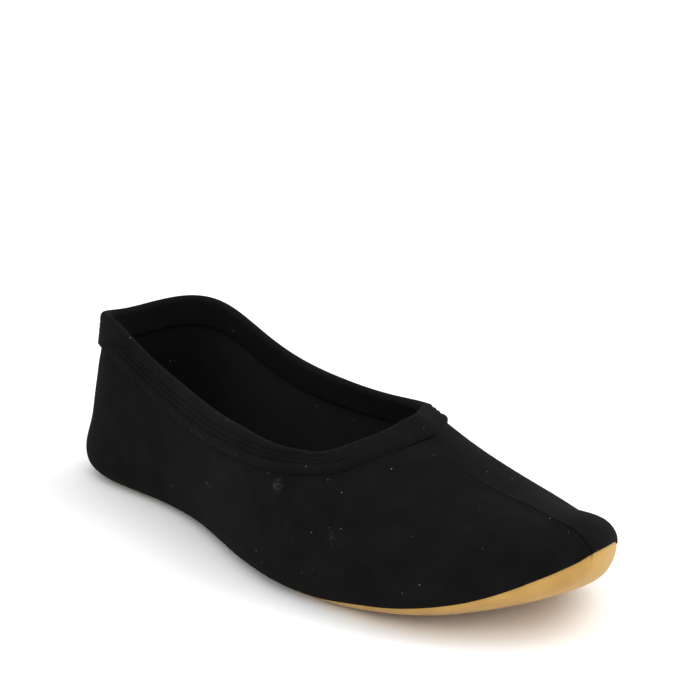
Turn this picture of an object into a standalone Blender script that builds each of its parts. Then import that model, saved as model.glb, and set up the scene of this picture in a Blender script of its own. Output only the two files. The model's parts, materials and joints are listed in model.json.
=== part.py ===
"""Right gymnastics slipper: jersey upper, collar band, soft sole and insole.

All four pieces are cut from one surface, the last, that runs through the sections in SECTIONS.
A point of the last is given by two angles. The first runs along the foot, 0 at the heel and pi at
the toe tip. The second climbs a section, -90 degrees at the floor, 0 at the widest line and
90 degrees on the ridge. Sizes are in millimetres and turned to metres when an object is made.
The toe points to +X, the inner (big toe) side to +Y, +Z is up and the sole stands on z = 0.
"""
import math
from collections import namedtuple

import bmesh
import bpy
import numpy as np

MILLIMETRE = 0.001
MERGE_DISTANCE = 0.00001

# Heel to toe tip
LENGTH = 240.0

# Thickness of each sheet and the slit left between two pieces
UPPER_THICKNESS = 1.3
SOLE_THICKNESS = 2.0
INSOLE_THICKNESS = 1.4
BAND_THICKNESS = 0.9
GAP = 0.3

# Height of the collar casing, and how far round its top edge is
BAND_WIDTH = 11.0
BAND_ROUNDING = 0.6

# The raised seam over the toe: its height, half-width and how far up the ridge it reaches
TOE_SEAM_RAISE = 0.7
TOE_SEAM_HALF_WIDTH = 0.035
TOE_SEAM_SHOULDER = 0.42
TOE_SEAM_REACH = 0.62
TOE_SEAM_FADE = 0.12

# Sections from heel to toe: place along the length, half-widths to the outer and inner side, height of
# the ridge and of the widest line, radius of the bottom corner, how many degrees below the widest line
# the sole seam lies, and how far the middle line swings to the inner side
Section = namedtuple("Section", "along outer inner ridge widest turn seam swing")
SECTIONS = [
    Section(0.00, 0.0, 0.0, 120.0, 10.0, 8.0, 78.0, 0.0),
    Section(0.03, 17.7, 18.4, 120.0, 10.0, 8.0, 78.0, 0.0),
    Section(0.11, 23.8, 27.5, 118.0, 10.0, 8.0, 78.0, 0.0),
    Section(0.25, 23.8, 28.5, 108.0, 10.0, 8.0, 78.0, 0.0),
    Section(0.42, 33.0, 29.5, 85.0, 11.0, 8.0, 78.0, 0.0),
    Section(0.58, 42.9, 35.0, 60.6, 11.0, 8.9, 75.0, 0.0),
    Section(0.70, 42.8, 39.5, 45.6, 11.0, 10.5, 43.3, 1.1),
    Section(0.84, 38.2, 38.7, 35.6, 12.2, 18.0, 23.1, 3.4),
    Section(0.94, 21.8, 23.5, 36.2, 19.4, 20.4, 12.0, 4.6),
    Section(1.00, 0.0, 0.0, 29.7, 29.7, 20.7, 2.0, 5.0),
]

# How far forward the back of the heel stands at each height above its widest line
HeelRow = namedtuple("HeelRow", "height forward")
HEEL_ROWS = [HeelRow(10.0, 0.0), HeelRow(25.0, 4.2), HeelRow(62.0, 10.5)]
HEEL_TURN = 6.6
HEEL_FADE = 60.0

# Height of the collar edge on the outer and the inner side, and where it crosses the ridge
CollarRow = namedtuple("CollarRow", "along outer inner")
COLLAR_ROWS = [
    CollarRow(0.00, 57.5, 57.5),
    CollarRow(0.10, 59.6, 60.2),
    CollarRow(0.20, 51.4, 53.2),
    CollarRow(0.30, 46.8, 48.2),
    CollarRow(0.40, 45.3, 46.2),
    CollarRow(0.50, 45.3, 46.2),
    CollarRow(0.56, 44.6, 47.8),
    CollarRow(0.60, 44.6, 49.7),
    CollarRow(0.63, 45.4, 51.5),
]
THROAT_ALONG = 0.660

# The forefoot lifts off the floor from here on, and the inner waist a little
SPRING_FROM = 0.68
SPRING_POWER = 1.72
ARCH_LIFT = 2.0
ARCH_ALONG = 0.42
ARCH_SPREAD = 0.25
ARCH_SQUARENESS = 4.0

# Sections narrower than this keep the roundness of their bottom corner in proportion
FULL_TURN_WIDTH = 28.0

# The climb is halved where the upper is laid out flat, so that its columns run straight down the wall
CLIMB_SHARE = 0.5

# Fineness of the facets
SIDE_COLUMNS = 40
BAND_ROWS = 3
WALL_ROWS = 9
CORNER_STEPS = 4
FLAT_STEPS = 6
INSOLE_ROWS = 30
INSOLE_COLUMNS = 8
ARC_SAMPLES = 81
SMALL_STEP = 0.002
SHARP_ANGLE = math.radians(40)

# Insole: part of the length and of the bottom it covers, and how square its ends are
INSOLE_FROM = 0.20
INSOLE_TO = 2.66
INSOLE_EDGE = 62.0
INSOLE_SQUARENESS = 4.0

# Colour and roughness of each piece
Paint = namedtuple("Paint", "colour roughness")
PAINTS = {
    "upper": Paint((0.0115, 0.0110, 0.0112), 0.85),
    "collar_band": Paint((0.0095, 0.0092, 0.0095), 0.80),
    "sole": Paint((0.610, 0.370, 0.110), 0.75),
    "insole": Paint((0.600, 0.540, 0.430), 0.90),
}


def spline(knots, values, flat_start=False, flat_end=False):
    """A smooth curve through a table's column; an end can be told to start level."""
    knots = np.asarray(knots, float)
    values = np.asarray(values, float)
    gaps = np.diff(knots)
    slopes = np.diff(values) / gaps
    count = len(knots)
    matrix = np.eye(count)
    right = np.zeros(count)
    for i in range(1, count - 1):
        matrix[i, i - 1:i + 2] = gaps[i - 1], 2 * (gaps[i - 1] + gaps[i]), gaps[i]
        right[i] = 6 * (slopes[i] - slopes[i - 1])
    if flat_start:
        matrix[0, :2] = 2 * gaps[0], gaps[0]
        right[0] = 6 * slopes[0]
    if flat_end:
        matrix[-1, -2:] = gaps[-1], 2 * gaps[-1]
        right[-1] = -6 * slopes[-1]
    bend = np.linalg.solve(matrix, right)

    def at(where):
        where = np.clip(where, knots[0], knots[-1])
        i = np.clip(np.searchsorted(knots, where) - 1, 0, count - 2)
        ahead = knots[i + 1] - where
        behind = where - knots[i]
        start = values[i] / gaps[i] - bend[i] * gaps[i] / 6
        end = values[i + 1] / gaps[i] - bend[i + 1] * gaps[i] / 6
        curve = (bend[i] * ahead ** 3 + bend[i + 1] * behind ** 3) / (6 * gaps[i])
        return curve + start * ahead + end * behind
    return at


def foot_angle(along):
    """The angle along the foot that belongs to a part of the length."""
    return np.arccos(1 - 2 * np.asarray(along, float))


def column(rows, name, **ends):
    angles = [float(foot_angle(row.along)) for row in rows]
    return spline(angles, [getattr(row, name) for row in rows], **ends)


outer_width = column(SECTIONS, "outer")
inner_width = column(SECTIONS, "inner")
ridge_height = column(SECTIONS, "ridge")
widest_height = column(SECTIONS, "widest", flat_start=True, flat_end=True)
corner_turn = column(SECTIONS, "turn")
seam_degrees = column(SECTIONS, "seam", flat_start=True)
middle_swing = column(SECTIONS, "swing", flat_start=True, flat_end=True)
heel_forward = spline([row.height for row in HEEL_ROWS], [row.forward for row in HEEL_ROWS], flat_start=True)
SPRING_START = float(foot_angle(SPRING_FROM))
THROAT = float(foot_angle(THROAT_ALONG))
throat_height = float(ridge_height(THROAT))
collar_line = COLLAR_ROWS + [CollarRow(THROAT_ALONG, throat_height, throat_height)]
outer_collar = column(collar_line, "outer", flat_start=True)
inner_collar = column(collar_line, "inner", flat_start=True)


def floor_height(foot, side):
    """Height of the underside: level at heel and ball, rising to the toe and at the inner waist."""
    rise = np.clip((foot - SPRING_START) / (math.pi - SPRING_START), 0, 1) ** SPRING_POWER
    arch = np.exp(-((foot - float(foot_angle(ARCH_ALONG))) / ARCH_SPREAD) ** ARCH_SQUARENESS)
    return SECTIONS[-1].widest * rise + (ARCH_LIFT * arch if side > 0 else 0.0)


def last_point(foot, climb, side):
    """A point of the last; side is -1 on the outer half and +1 on the inner half."""
    width = outer_width(foot) if side < 0 else inner_width(foot)
    widest = widest_height(foot)
    lower = climb < 0
    turn = corner_turn(foot) / np.maximum(width, FULL_TURN_WIDTH)
    share = np.where(lower, 1 - turn * (1 - np.cos(climb)), np.cos(climb))
    reach = np.where(lower, widest - floor_height(foot, side), ridge_height(foot) - widest)
    height = widest + reach * np.sin(climb)
    forward = np.where(lower, HEEL_TURN * (1 - np.cos(climb)), heel_forward(height))
    length = LENGTH / 2 * (1 - np.cos(foot))
    length = length + forward * np.exp(-(length / HEEL_FADE) ** 2)
    return np.stack([length, middle_swing(foot) + side * width * share, height], axis=-1)


def unit(vectors):
    return vectors / np.linalg.norm(vectors, axis=-1, keepdims=True)


def facing(surface, first, second, side):
    """Outward normal of a surface of two variables, found from small steps along both."""
    along = surface(first + SMALL_STEP, second) - surface(first - SMALL_STEP, second)
    across = surface(first, second + SMALL_STEP) - surface(first, second - SMALL_STEP)
    return unit(np.cross(across, along) * side)


def flat_map(foot, climb):
    """Both angles laid out flat as a fan, with the toe tip at its point."""
    turn = CLIMB_SHARE * climb
    return np.stack([(math.pi - foot) * np.cos(turn), (math.pi - foot) * np.sin(turn)], axis=-1)


def collar_climb(foot, side):
    height = outer_collar(foot) if side < 0 else inner_collar(foot)
    lift = (height - widest_height(foot)) / (ridge_height(foot) - widest_height(foot))
    return np.arcsin(np.clip(lift, -1, 1))


def upper_angles(round_share, up_share, side):
    """Foot and climb angles of the upper: from heel to toe line, and from sole seam to collar."""
    quarter = math.pi / 2
    low_foot = math.pi * round_share
    low = flat_map(low_foot, -np.radians(seam_degrees(low_foot)))
    top_foot = THROAT * np.sin(quarter * round_share)
    top = flat_map(top_foot, collar_climb(top_foot, side))
    heel_low = -math.radians(float(seam_degrees(0.0)))
    heel_top = float(collar_climb(np.array(0.0), side))
    heel = flat_map(0.0, heel_low + (heel_top - heel_low) * up_share)
    across = np.sin(quarter * round_share)[..., None]
    up = up_share[..., None]
    corner_heel = (1 - up) * flat_map(0.0, heel_low) + up * flat_map(0.0, heel_top)
    spread = (1 - up) * low + up * top + (1 - across) * (heel - corner_heel)
    foot = math.pi - np.hypot(spread[..., 0], spread[..., 1])
    return np.clip(foot, 0, math.pi), np.arctan2(spread[..., 1], spread[..., 0]) / CLIMB_SHARE


def upper_surface(side):
    def point(round_share, up_share):
        foot, climb = upper_angles(np.clip(round_share, 0, 1), np.clip(up_share, 0, 1), side)
        return last_point(foot, climb, side)
    return point


def column_shares():
    """Places of the columns from heel to toe line, with extra ones beside the raised toe seam."""
    even = np.linspace(0, 1, SIDE_COLUMNS + 1)
    beside = 1 - TOE_SEAM_HALF_WIDTH * np.array([1.0, TOE_SEAM_SHOULDER])
    return np.sort(np.concatenate([even[even < beside[0]], beside, [1.0]]))


def upper_grid(depths_from_top, side):
    """Points and normals of the upper's outside: a column for each share, rows by depth under the collar.

    Depths are given for the band; below it the wall is shared out evenly down to the sole seam.
    """
    surface = upper_surface(side)
    shares = column_shares()
    ups = np.linspace(1, 0, ARC_SAMPLES)
    points, normals, heights = [], [], []
    for share in shares:
        path = surface(np.full(ARC_SAMPLES, share), ups)
        depth = np.concatenate([[0], np.cumsum(np.linalg.norm(np.diff(path, axis=0), axis=1))])
        wanted = np.concatenate([depths_from_top, np.linspace(BAND_WIDTH, depth[-1], WALL_ROWS + 1)[1:]])
        up = np.interp(wanted, depth, ups)
        points.append(surface(np.full(len(up), share), up))
        inside = np.clip(share, SMALL_STEP, 1 - SMALL_STEP)
        level = np.clip(up, SMALL_STEP, 1 - SMALL_STEP)
        normal = facing(surface, np.full(len(up), inside), level, side)
        if share in (0.0, 1.0):
            normal = unit(normal * np.array([1.0, 0.0, 1.0]))
        normals.append(normal)
        heights.append(up)
    return np.array(points), np.array(normals), np.array(heights), shares


def close_round(outer, inner):
    """Joins the outer half, heel to toe, and the inner half, toe to heel, to one closed round."""
    return np.concatenate([outer, inner[-2:0:-1]], axis=0)


def upper_sheets():
    """Outside points, normals and places of the whole upper, collar to sole seam."""
    depths = np.linspace(GAP + BAND_THICKNESS, BAND_WIDTH, BAND_ROWS + 1)
    halves = [upper_grid(depths, side) for side in (-1, 1)]
    points = close_round(halves[0][0], halves[1][0])
    normals = close_round(halves[0][1], halves[1][1])
    ups = close_round(halves[0][2], halves[1][2])
    shares = close_round(halves[0][3], halves[1][3])
    return points, normals, ups, shares


def make_object(name, points, faces):
    mesh = bpy.data.meshes.new(name)
    mesh.from_pydata((points * MILLIMETRE).tolist(), [], faces)
    form = bmesh.new()
    form.from_mesh(mesh)
    bmesh.ops.remove_doubles(form, verts=form.verts, dist=MERGE_DISTANCE)
    bmesh.ops.recalc_face_normals(form, faces=form.faces)
    form.to_mesh(mesh)
    form.free()
    mesh.shade_smooth()
    mesh.set_sharp_from_angle(angle=SHARP_ANGLE)
    material = bpy.data.materials.new(name)
    material.use_nodes = True
    shader = material.node_tree.nodes["Principled BSDF"]
    shader.inputs["Base Color"].default_value = (*PAINTS[name].colour, 1.0)
    shader.inputs["Roughness"].default_value = PAINTS[name].roughness
    mesh.materials.append(material)
    item = bpy.data.objects.new(name, mesh)
    bpy.context.scene.collection.objects.link(item)
    return item


def ring_faces(rounds, loop):
    """Quads of a loop carried all the way round."""
    faces = []
    for k in range(rounds):
        ahead = (k + 1) % rounds
        for j in range(loop):
            after = (j + 1) % loop
            faces.append((k * loop + j, ahead * loop + j, ahead * loop + after, k * loop + after))
    return faces


def plate_faces(rows, columns):
    """Quads of a plate with an underside, a top and an edge along both long sides."""
    faces = []
    top = rows * columns
    for k in range(rows - 1):
        for j in range(columns - 1):
            corner = k * columns + j
            quad = (corner, corner + 1, corner + columns + 1, corner + columns)
            faces.append(quad)
            faces.append(tuple(top + index for index in reversed(quad)))
        for j in (0, columns - 1):
            start = k * columns + j
            faces.append((start, start + columns, top + start + columns, top + start))
    return faces


def upper_walls():
    """Outside and inside of the upper; the toe seam is a step in the outside."""
    points, normals, ups, shares = upper_sheets()
    beside = np.clip(1 - (1 - shares) / TOE_SEAM_HALF_WIDTH, 0, 1)[:, None]
    fade = np.clip((TOE_SEAM_REACH + TOE_SEAM_FADE - ups) / TOE_SEAM_FADE, 0, 1)
    outside = points + normals * (TOE_SEAM_RAISE * np.sqrt(beside) * fade)[..., None]
    return outside, points - normals * UPPER_THICKNESS


def make_upper(centre):
    """One hollow wall, open at the collar and underneath."""
    outside, inside = upper_walls()
    loops = np.concatenate([outside, inside[:, ::-1]], axis=1)
    return make_object("upper", (loops - centre).reshape(-1, 3), ring_faces(*loops.shape[:2]))


def make_collar_band(centre):
    """The casing folded over the upper's top edge: an outer leg, a round top and an inner leg."""
    points, normals, _, _ = upper_sheets()
    points = points[:, :BAND_ROWS + 1]
    normals = normals[:, :BAND_ROWS + 1]
    upward = unit(points[:, 0] - points[:, 1])[:, None]
    out = GAP + BAND_THICKNESS
    back = UPPER_THICKNESS + out
    edge = points[:, :1]
    edge_normal = normals[:, :1]
    shoulder = edge + upward * (out - BAND_ROUNDING)
    outer_leg = (points + normals * out)[:, ::-1]
    inner_leg = points - normals * back
    crown = [
        shoulder + edge_normal * (out - BAND_ROUNDING / 2),
        edge + upward * out - edge_normal * (UPPER_THICKNESS / 2),
        shoulder - edge_normal * (back - BAND_ROUNDING / 2),
    ]
    slot_top = edge + upward * GAP
    slot = [
        (points - normals * (UPPER_THICKNESS + GAP))[:, :0:-1],
        slot_top - edge_normal * (UPPER_THICKNESS + GAP),
        slot_top + edge_normal * GAP,
        (points + normals * GAP)[:, 1:],
    ]
    loops = np.concatenate([outer_leg, *crown, inner_leg, *slot], axis=1)
    return make_object("collar_band", (loops - centre).reshape(-1, 3), ring_faces(*loops.shape[:2]))


def bottom_row(foot, edge_climb):
    """Points and normals across the underside at one place, outer edge to inner edge."""
    corners, faces = [], []
    for side, edge in zip((-1, 1), edge_climb):
        climbs = np.linspace(edge, -math.pi / 2, CORNER_STEPS + 1)
        feet = np.full(len(climbs), foot)
        steady = np.clip(feet, SMALL_STEP, math.pi - 2 * SMALL_STEP)

        def surface(first, second):
            return last_point(first, second, side)
        corners.append(last_point(feet, climbs, side))
        faces.append(facing(surface, steady, climbs, side))
    share = np.linspace(0, 1, FLAT_STEPS + 1)[1:-1, None]
    flat = corners[0][-1] * (1 - share) + corners[1][-1] * share
    flat_face = unit(faces[0][-1] * (1 - share) + faces[1][-1] * share)
    points = np.concatenate([corners[0], flat, corners[1][::-1]])
    normals = np.concatenate([faces[0], flat_face, faces[1][::-1]])
    return points, normals


def seam_gap_climb(foot, side):
    """Climb angle of the sole's edge, one gap below the upper's edge."""
    width = float(outer_width(foot) if side < 0 else inner_width(foot))
    seam = math.radians(float(seam_degrees(foot)))
    sideways = float(corner_turn(foot)) * width / max(width, FULL_TURN_WIDTH) * math.sin(seam)
    upright = float(widest_height(foot) - floor_height(foot, side)) * math.cos(seam)
    return max(-seam - GAP / math.hypot(sideways, upright), -math.pi / 2)


def sole_rows():
    """Underside of the sole, heel to toe tip; its rows sit under the upper's columns."""
    feet = math.pi * column_shares()
    tip_steepness = SECTIONS[-1].widest * SPRING_POWER / (math.pi - SPRING_START)
    feet[-1] = math.pi - GAP / tip_steepness
    rows = [bottom_row(foot, [seam_gap_climb(foot, side) for side in (-1, 1)]) for foot in feet]
    points = np.array([row[0] for row in rows])
    normals = np.array([row[1] for row in rows])
    for ends in (points, normals):
        ends[0] = (ends[0] + ends[0][::-1]) / 2
        ends[-1] = ends[-1].mean(axis=0)
    return points, unit(normals)


def make_sole(centre):
    points, normals = sole_rows()
    plate = np.concatenate([points, points - normals * SOLE_THICKNESS])
    faces = plate_faces(*points.shape[:2])
    return make_object("sole", (plate - centre).reshape(-1, 3), faces)


def make_insole(centre):
    """A thin sock on the sole, its edge turned up a little with the sole's own corner."""
    feet = np.linspace(INSOLE_FROM, INSOLE_TO, INSOLE_ROWS + 1)
    below, above = [], []
    for foot in feet:
        middle = (foot - INSOLE_FROM) / (INSOLE_TO - INSOLE_FROM) * 2 - 1
        share = (1 - abs(middle) ** INSOLE_SQUARENESS) ** (1 / INSOLE_SQUARENESS)
        points, normals = bottom_row(foot, [-math.radians(INSOLE_EDGE)] * 2)
        places = np.linspace(0, 1, len(points))
        wanted = 0.5 + share * (np.linspace(0, 1, INSOLE_COLUMNS + 1) - 0.5)
        spot = np.stack([np.interp(wanted, places, points[:, axis]) for axis in range(3)], axis=-1)
        face = unit(np.stack([np.interp(wanted, places, normals[:, axis]) for axis in range(3)], axis=-1))
        below.append(spot - face * (SOLE_THICKNESS + GAP))
        above.append(spot - face * (SOLE_THICKNESS + GAP + INSOLE_THICKNESS))
    plate = np.concatenate([below, above])
    faces = plate_faces(INSOLE_ROWS + 1, INSOLE_COLUMNS + 1)
    return make_object("insole", (plate - centre).reshape(-1, 3), faces)


def box_centre():
    """Middle of the slipper's box, on the floor, so the part stands round its origin."""
    spots = np.concatenate([upper_walls()[0].reshape(-1, 3), sole_rows()[0].reshape(-1, 3)])
    centre = (spots.min(axis=0) + spots.max(axis=0)) / 2
    centre[2] = 0.0
    return centre


def main():
    for item in list(bpy.data.objects):
        bpy.data.objects.remove(item, do_unlink=True)
    centre = box_centre()
    make_upper(centre)
    make_collar_band(centre)
    make_sole(centre)
    make_insole(centre)


main()
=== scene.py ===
# %% [markdown]
# # A gymnastics slipper
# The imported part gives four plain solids: an upper, a collar band, a sole and an insole. This lesson
# lays jersey, thread and suede over them. Every new piece takes its place from the solid it stands
# for, so the slipper keeps its size, and only finish and soft detail are added here.

# %% Load the frame
import json
import math

import bmesh
import bpy
import numpy as np
from mathutils import Matrix, Vector, noise
from mathutils.bvhtree import BVHTree

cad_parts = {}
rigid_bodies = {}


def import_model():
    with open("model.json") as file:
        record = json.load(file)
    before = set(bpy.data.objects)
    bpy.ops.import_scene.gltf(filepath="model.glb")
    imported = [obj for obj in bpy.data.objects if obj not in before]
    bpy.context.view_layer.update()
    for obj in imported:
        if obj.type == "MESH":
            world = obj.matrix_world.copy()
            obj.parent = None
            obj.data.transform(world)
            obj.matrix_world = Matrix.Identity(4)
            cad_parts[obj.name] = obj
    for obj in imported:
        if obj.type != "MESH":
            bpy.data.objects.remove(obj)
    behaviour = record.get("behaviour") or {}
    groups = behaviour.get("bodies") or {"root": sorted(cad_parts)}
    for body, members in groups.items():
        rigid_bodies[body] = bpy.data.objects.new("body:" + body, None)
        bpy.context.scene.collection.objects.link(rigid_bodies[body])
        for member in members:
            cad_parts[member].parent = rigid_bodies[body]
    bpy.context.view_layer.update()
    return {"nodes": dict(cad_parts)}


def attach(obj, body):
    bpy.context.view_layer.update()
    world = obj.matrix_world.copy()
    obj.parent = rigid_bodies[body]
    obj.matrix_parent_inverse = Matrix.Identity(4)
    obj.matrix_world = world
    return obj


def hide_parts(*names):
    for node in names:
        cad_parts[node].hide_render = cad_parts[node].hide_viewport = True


for leftover in list(bpy.data.objects):
    bpy.data.objects.remove(leftover)
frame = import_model()
scene = bpy.context.scene
MM = 0.001

# %% [markdown]
# ## Camera
# The photograph looks at the outer side of a right shoe, from ahead of the toe and a little above. A
# long lens from almost a metre away keeps the heel from shrinking. The camera is placed by its
# direction and distance from a target, which is easier to read than three angles.

# %% Camera
CAMERA_AZIMUTH = math.radians(49.91)
CAMERA_ELEVATION = math.radians(16.21)
CAMERA_DISTANCE = 950.9 * MM
CAMERA_TARGET = Vector((-1.1, 10.0, 64.05)) * MM
CAMERA_LENS = 150.06

towards_camera = Vector((
    math.sin(CAMERA_AZIMUTH) * math.cos(CAMERA_ELEVATION),
    -math.cos(CAMERA_AZIMUTH) * math.cos(CAMERA_ELEVATION),
    math.sin(CAMERA_ELEVATION),
))
camera = bpy.data.objects.new("camera", bpy.data.cameras.new("camera"))
camera.data.lens = CAMERA_LENS
camera.location = CAMERA_TARGET + towards_camera * CAMERA_DISTANCE
camera.rotation_euler = (-towards_camera).to_track_quat("-Z", "Y").to_euler()
scene.collection.objects.link(camera)
scene.camera = camera
print("camera at", [round(value / MM) for value in camera.location], "mm")

# %% [markdown]
# ## Nodes with less typing
# Every material below is a small tree of nodes. One helper adds a node, sets its properties and
# fills or links its sockets. Another makes a material and hands back its Principled shader too. The
# same could be done by hand in the Shader Editor, but a script can repeat it.

# %% Node helpers
def add(tree, kind, sockets=None, **settings):
    """A new node with its settings; each socket gets a value, or a link from another socket."""
    made = tree.nodes.new(kind)
    for name, value in settings.items():
        setattr(made, name, value)
    for name, value in (sockets or {}).items():
        if isinstance(value, bpy.types.NodeSocket):
            tree.links.new(value, made.inputs[name])
        else:
            made.inputs[name].default_value = value
    return made


def new_material(name, colour, roughness, **sockets):
    """A material, its tree and its shader; an underscore in a socket's name stands for a space."""
    material = bpy.data.materials.new(name)
    material.use_nodes = True
    shader = material.node_tree.nodes["Principled BSDF"]
    shader.inputs["Base Color"].default_value = (*colour, 1.0)
    shader.inputs["Roughness"].default_value = roughness
    for socket, value in sockets.items():
        shader.inputs[socket.replace("_", " ")].default_value = value
    return material, material.node_tree, shader


# %% [markdown]
# ## Studio
# The stage is plain white and its shadows are soft. A white world lights the slipper from all sides,
# as a light tent does. A large lamp behind and above gives the far side of the toe its faint sheen,
# and a weaker one ahead of the toe lifts the suede. The floor belongs to the stage and isn't part of
# the slipper.

# %% Floor, world and lamps
FLOOR_HALF = 4.0
FLOOR_COLOUR = (0.97, 0.97, 0.97)
FLOOR_ROUGHNESS = 0.9
WORLD_COLOUR = (1, 1, 1, 1)
WORLD_STRENGTH = 1.18
# Name of each lamp, its place and the side of its square in metres, and its watts
LAMPS = [
    ("back_lamp", (0.5, 0.9, 1.3), 1.2, 9.0),
    ("front_lamp", (1.2, -0.5, 0.9), 1.0, 4.0),
]

form = bmesh.new()
bmesh.ops.create_grid(form, x_segments=1, y_segments=1, size=FLOOR_HALF)
floor_mesh = bpy.data.meshes.new("floor")
form.to_mesh(floor_mesh)
form.free()
floor_mesh.materials.append(new_material("pale_floor", FLOOR_COLOUR, FLOOR_ROUGHNESS)[0])
floor = bpy.data.objects.new("floor", floor_mesh)
scene.collection.objects.link(floor)

scene.view_settings.view_transform = "Standard"
world = bpy.data.worlds.new("light_tent")
world.use_nodes = True
world.node_tree.nodes["Background"].inputs["Color"].default_value = WORLD_COLOUR
world.node_tree.nodes["Background"].inputs["Strength"].default_value = WORLD_STRENGTH
scene.world = world

for name, place, side, watts in LAMPS:
    lamp = bpy.data.objects.new(name, bpy.data.lights.new(name, "AREA"))
    lamp.data.size = side
    lamp.data.energy = watts
    lamp.location = place
    lamp.rotation_euler = (-Vector(place)).to_track_quat("-Z", "Y").to_euler()
    scene.collection.objects.link(lamp)
print("stage ready with", len(LAMPS), "lamps")

# %% [markdown]
# ## The last, read from the CAD wall
# A shoemaker works over a last. Here the inner face of the CAD upper is the last: it is smooth and
# has no seam. Its vertices lie in rows, one edge further from the collar rim each time, and every row
# is a closed ring. Reading them row by row gives a grid of guide points: columns run round the shoe
# from the back of the heel, by the outer side first, and rows run down to the sole seam.

# %% Rings of vertices
MERGE = 0.01 * MM
RIM_ANGLE = math.radians(60)
COLLAR_LOWEST = 40 * MM


def merged_copy(node):
    """A CAD node's loose triangles as one connected mesh."""
    copy = bmesh.new()
    copy.from_mesh(frame["nodes"][node].data)
    bmesh.ops.remove_doubles(copy, verts=copy.verts, dist=MERGE)
    return copy


def ring_from(start, edges):
    """Walks once round a closed row of edges, by the outer side first."""
    ways = [edge.other_vert(start) for edge in start.link_edges if edge in edges]
    ring = [start, min(ways, key=lambda vertex: vertex.co.y)]
    while True:
        ways = [edge.other_vert(ring[-1]) for edge in ring[-1].link_edges if edge in edges]
        ahead = ways[0] if ways[1] is ring[-2] else ways[1]
        if ahead is start:
            return ring
        ring.append(ahead)


def furthest_back(vertices):
    return min(vertices, key=lambda vertex: vertex.co.x)


# %% Guide points of the last
wall = merged_copy("upper")
rims = {
    edge for edge in wall.edges
    if edge.calc_face_angle() > RIM_ANGLE and min(v.co.z for v in edge.verts) > COLLAR_LOWEST
}
rim_vertices = {vertex for edge in rims for vertex in edge.verts}
outer_rim = ring_from(furthest_back(rim_vertices), rims)
rings = [ring_from(furthest_back(rim_vertices - set(outer_rim)), rims)]
passed = set(outer_rim) | set(rings[0])
while True:
    below = {edge.other_vert(v) for v in rings[-1] for edge in v.link_edges} - passed
    if len(below) < len(rings[0]):
        break
    passed |= below
    links = {edge for v in below for edge in v.link_edges if edge.other_vert(v) in below}
    nearest = min(below, key=lambda vertex: (vertex.co - rings[-1][0].co).length)
    rings.append(ring_from(nearest, links))

# The shortest step crosses the wall at the sole seam: it ends the last and is the wall's thickness
all_rows = np.array([[vertex.co for vertex in ring] for ring in rings])
steps = np.linalg.norm(np.diff(all_rows, axis=0), axis=2).mean(axis=1)
WALL = float(steps.min())
last_guide = all_rows[:int(steps.argmin()) + 1].transpose(1, 0, 2)
TOE_COLUMN = len(rings[0]) // 2
wall.free()
print("last, columns by rows:", last_guide.shape[:2], "and a wall of", round(WALL / MM, 2), "mm")

# %% [markdown]
# ## Smooth sheets
# The guide points are several millimetres apart, and cloth needs points closer than one. A cubic
# spline through the guide points, first down the columns and then round the rows, fills in the rest
# without flattening the curves. Subdivision Surface could do it too, but it shrinks a form slightly.

# %% Splines
def smooth_through(knots, points, wanted):
    """A cubic spline through points known at the knots, read at the wanted places."""
    gaps = np.diff(knots)
    matrix = np.eye(len(knots))
    for i in range(1, len(knots) - 1):
        matrix[i, i - 1:i + 2] = gaps[i - 1], 2 * (gaps[i - 1] + gaps[i]), gaps[i]
    flat = points.reshape(len(knots), -1)
    slopes = np.diff(flat, axis=0) / gaps[:, None]
    pull = np.zeros_like(flat)
    pull[1:-1] = 6 * np.diff(slopes, axis=0)
    bend = np.linalg.solve(matrix, pull)
    i = np.clip(np.searchsorted(knots, wanted) - 1, 0, len(gaps) - 1)
    gap = gaps[i][:, None]
    ahead = (knots[i + 1] - wanted)[:, None]
    behind = (wanted - knots[i])[:, None]
    curve = (bend[i] * ahead ** 3 + bend[i + 1] * behind ** 3) / (6 * gap)
    curve += (flat[i] / gap - bend[i] * gap / 6) * ahead
    curve += (flat[i + 1] / gap - bend[i + 1] * gap / 6) * behind
    return curve.reshape(len(wanted), *points.shape[1:])


def run_length(points, axis):
    """Length from the start of each row or column, in metres."""
    steps = np.linalg.norm(np.diff(points, axis=axis), axis=-1)
    start = np.zeros_like(np.take(steps, [0], axis=axis))
    return np.concatenate([start, np.cumsum(steps, axis=axis)], axis=axis)


def read_along(points, run, wanted):
    """Points known at the lengths of a run, read at the wanted lengths."""
    return np.stack([np.interp(wanted, run, axis) for axis in points.T], axis=-1)


# %% Sheets
WRAP = 8
SHORTEST = 1e-12


def fine_columns(guide, downs):
    """Columns of a closed guide read finely at downs from 0 to 1, with the first again at the end."""
    knots = run_length(guide, 1).mean(axis=0)
    columns = smooth_through(knots / knots[-1], guide.transpose(1, 0, 2), downs)
    return np.concatenate([columns, columns[:, :1]], axis=1).transpose(1, 0, 2)


def column_places(columns):
    """Place of every column round the shoe: 0 and 1 at the heel, a half at the toe."""
    lengths = run_length(columns, 0).mean(axis=1)
    return np.interp(lengths, [0, lengths[TOE_COLUMN], lengths[-1]], [0, 0.5, 1])


def fine_sheet(columns, places, rounds):
    """Columns at known places round the shoe, read at the places in rounds."""
    knots = np.concatenate([places[-1 - WRAP:-1] - 1, places, places[1:1 + WRAP] + 1])
    wrapped = np.concatenate([columns[-1 - WRAP:-1], columns, columns[1:1 + WRAP]])
    return smooth_through(knots, wrapped, rounds)


def unit(vectors):
    return vectors / np.maximum(np.linalg.norm(vectors, axis=-1, keepdims=True), SHORTEST)


def facings(sheet):
    """Outward direction at every point of a closed sheet."""
    wrapped = np.concatenate([sheet[-2:-1], sheet, sheet[1:2]])
    along = np.gradient(wrapped, axis=0)[1:-1]
    return unit(np.cross(np.gradient(sheet, axis=1), along))


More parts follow.
